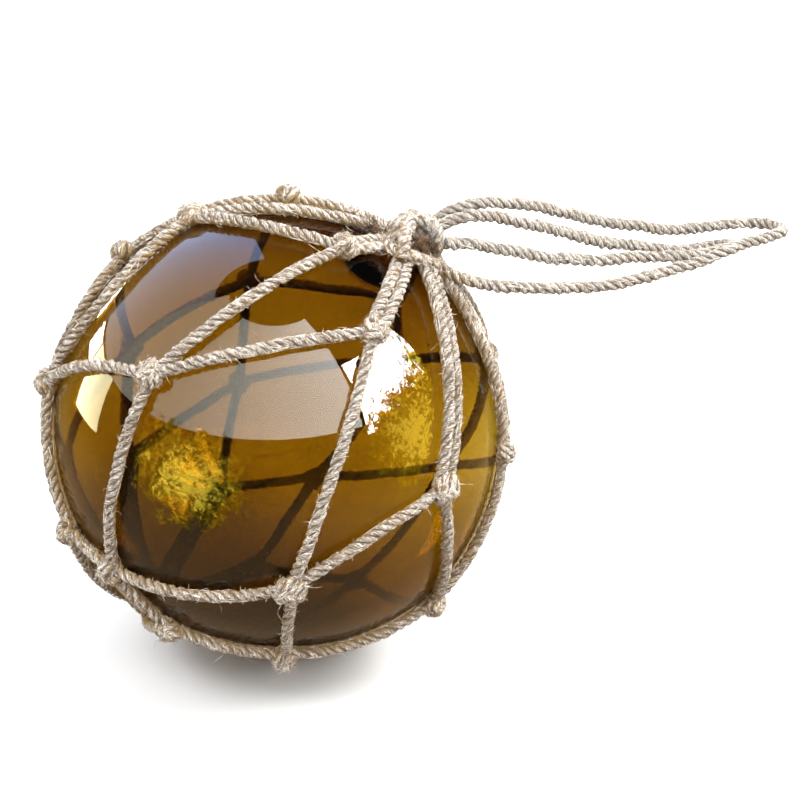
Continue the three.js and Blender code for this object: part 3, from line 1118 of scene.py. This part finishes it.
softbox("key", towards(95, 42, 0.85), (0.5, 0.5), 10, (1.0, 0.99, 0.96))
softbox("low_fill", towards(135, 20, 0.8), (0.5, 0.3), 5, (1.0, 0.98, 0.95))
softbox("left_fill", towards(-45, 48, 1.2), (0.7, 0.5), 11, (0.97, 0.98, 1.0))
softbox("front_fill", towards(30, 25, 1.4), (0.7, 0.5), 7, (1.0, 0.99, 0.98))
print(len(bpy.data.lights), "softboxes")


# %% Hang cards for the glass to mirror
WHITE = (1, 1, 1)
CREAM = (1, 0.99, 0.97)


def card(name, arounds, ups, brightness, tint=WHITE, right_tint=CREAM, leafy=None, away=1.5):
    """A curved card that only the glass sees, with how bright it is at its left and right,
    and the tints of its two sides. A leafy one breaks up into leaves towards one side."""
    bm = bmesh.new()
    bmesh.ops.create_grid(bm, x_segments=24, y_segments=12, size=1)
    glow = bm.verts.layers.float.new("glow")
    from_left = bm.verts.layers.float.new("from_left")
    inside = bm.verts.layers.float.new("inside")
    for vert in bm.verts:
        x, y = vert.co.x, vert.co.y
        across, along = x / 2 + 0.5, y / 2 + 0.5
        vert[glow] = brightness[0] + (brightness[1] - brightness[0]) * across**1.6
        vert[from_left] = across
        vert[inside] = 1
        if leafy == "all round":
            vert[inside] = 1.2 - math.hypot(x, y)
        if leafy == "low right":
            vert[inside] = 1.15 - 0.6 * x + 0.5 * y
        around = arounds[0] + (arounds[1] - arounds[0]) * across
        up = ups[0] + (ups[1] - ups[0]) * along
        vert.co = CENTRE + towards(around, up, away)
    paper = Recipe(name)
    strength = paper.number("glow")
    colour = paper.mix(paper.number("from_left"), (*tint, 1), (*right_tint, 1))
    if leafy:
        place = paper.node("ShaderNodeTexCoord", output=3)
        leaves = paper.number("inside") + (paper.noise(8, 6, place, 0.75) - 0.5) * 2.4
        lit = paper.between(paper.noise(20, 3, place, 0.7), 0.46, 0.54)
        lit = paper.maths("MAXIMUM", lit, paper.between(leaves, 0.9, 1.1))
        colour = paper.mix(paper.between(leaves, 0.6, 0.75), (0.25, 0.19, 0.01, 1), colour)
        strength = strength * (lit * 0.82 + 0.18)
    light = paper.node("ShaderNodeEmission", None, {"Color": colour, "Strength": strength})
    if leafy:
        gaps = paper.node("ShaderNodeBsdfTransparent")
        leaf = paper.between(leaves, 0.3, 0.36)
        light = paper.node("ShaderNodeMixShader", None, {0: leaf, 1: gaps, 2: light})
    paper.node("ShaderNodeOutputMaterial", None, {"Surface": light})
    hung = staged(bm, name, paper.finish)
    hung.visible_camera = hung.visible_diffuse = hung.visible_shadow = False


card("card_above", (-98, 47), (16, 72), (2.9, 9.4), (0.84, 0.86, 0.7), (0.95, 1.03, 1.02))
card("card_left", (-168, -97), (17, 66), (2.4, 1.8), (0.6, 0.85, 1.4))
card("card_far_left", (-143, -118), (8, 15.5), (24, 24))
card("card_near_left", (-117, -95), (-3, 16), (13, 10), (1.0, 0.97, 0.7), (1.0, 0.93, 0.55))
card("card_right", (49, 98), (12, 45), (45, 45), leafy="low right")
GOLD = (1.0, 0.82, 0.08)
OLD_GOLD = (1.0, 0.75, 0.06)
card("gold_card", (-71, -6), (-30, 19), (12, 7), GOLD, OLD_GOLD, "all round", 1.45)
card("gold_leaves", (46, 104), (-18, 28), (7, 9), GOLD, OLD_GOLD, "all round", 1.45)


# %% Lay a painted shadow mat behind the ball
def painted_shadow_mat():
    """A painted shadow that only the glass shows: it darkens the floor seen through the ball, and
    without it a clear ball on a white floor has no depth.
    """
    bm = bmesh.new()
    bmesh.ops.create_circle(bm, cap_ends=True, cap_tris=True, segments=64, radius=1)
    inward = bm.verts.layers.float.new("inward")
    for vert in bm.verts:
        vert[inward] = 1 - vert.co.length
        vert.co = Vector((vert.co.x * 0.08 - 0.06, vert.co.y * 0.1 + 0.06, 0.0004))
    shadow_sheet = Recipe("painted shadow sheet")
    edge = shadow_sheet.between(shadow_sheet.number("inward"), 0, 0.8)
    # painted shadow: a dark sheet, seen only through the glass, where the ball's shadow would fall
    # on the floor behind it
    shadow_sheet.surface({"Base Color": (0.05, 0.04, 0.03, 1), "Alpha": edge * 0.6})
    laid = staged(bm, "painted_shadow_mat", shadow_sheet.finish)
    laid.visible_camera = laid.visible_diffuse = laid.visible_shadow = laid.visible_glossy = False


painted_shadow_mat()
print("the mat lies behind the ball, and only the glass shows it")


# %% Surround it with a pale sky
def grey(brightness, warmth):
    return (brightness, brightness * (1 - warmth / 2), brightness * (1 - warmth))


# what the sky lights with and what the glass mirrors of it, from straight down at 0 to up at 1
LIGHT_OF_SKY = [(0.0, grey(0.3, 0.4)), (0.4, grey(0.42, 0.3)), (0.7, grey(1.0, 0.0))]
WALLS_OF_STUDIO = [(0.3, grey(0.62, 0.6)), (0.45, grey(0.05, 0.1)), (0.9, grey(0.04, 0.08))]


def sky_recipe():
    """White where it shows. It lights the ropes from above more than from below, and the
    glass mirrors it darker, as a studio's own walls are."""
    sky = Recipe("studio", bpy.data.worlds)
    lighting = sky.node("ShaderNodeLightPath", output="Is Diffuse Ray")
    mirrored = sky.node("ShaderNodeLightPath", output="Is Glossy Ray")
    mirrored = mirrored * sky.node("ShaderNodeLightPath", output="Is Reflection Ray")
    where = sky.node("ShaderNodeTexCoord", output="Generated")
    height = sky.node("ShaderNodeSeparateXYZ", None, {0: where}, output=2)
    height = sky.node("ShaderNodeMapRange", None, {0: height, 1: -1})
    soft_light = sky.node("ShaderNodeValToRGB", {"stops": LIGHT_OF_SKY}, {0: height})
    walls = sky.node("ShaderNodeValToRGB", {"stops": WALLS_OF_STUDIO}, {0: height})
    colour = sky.mix(lighting, (1, 1, 1, 1), soft_light)
    colour = sky.mix(mirrored, colour, walls)
    strength = lighting * 0.7 + 1
    light = sky.node("ShaderNodeBackground", None, {"Color": colour, "Strength": strength})
    sky.node("ShaderNodeOutputWorld", None, {"Surface": light})
    return sky.finish


bpy.context.scene.world = sky_recipe()
floor.visible_glossy = floor.visible_diffuse = False
bpy.context.scene.view_settings.view_transform = "Standard"
print("the sky is", bpy.context.scene.world.name)
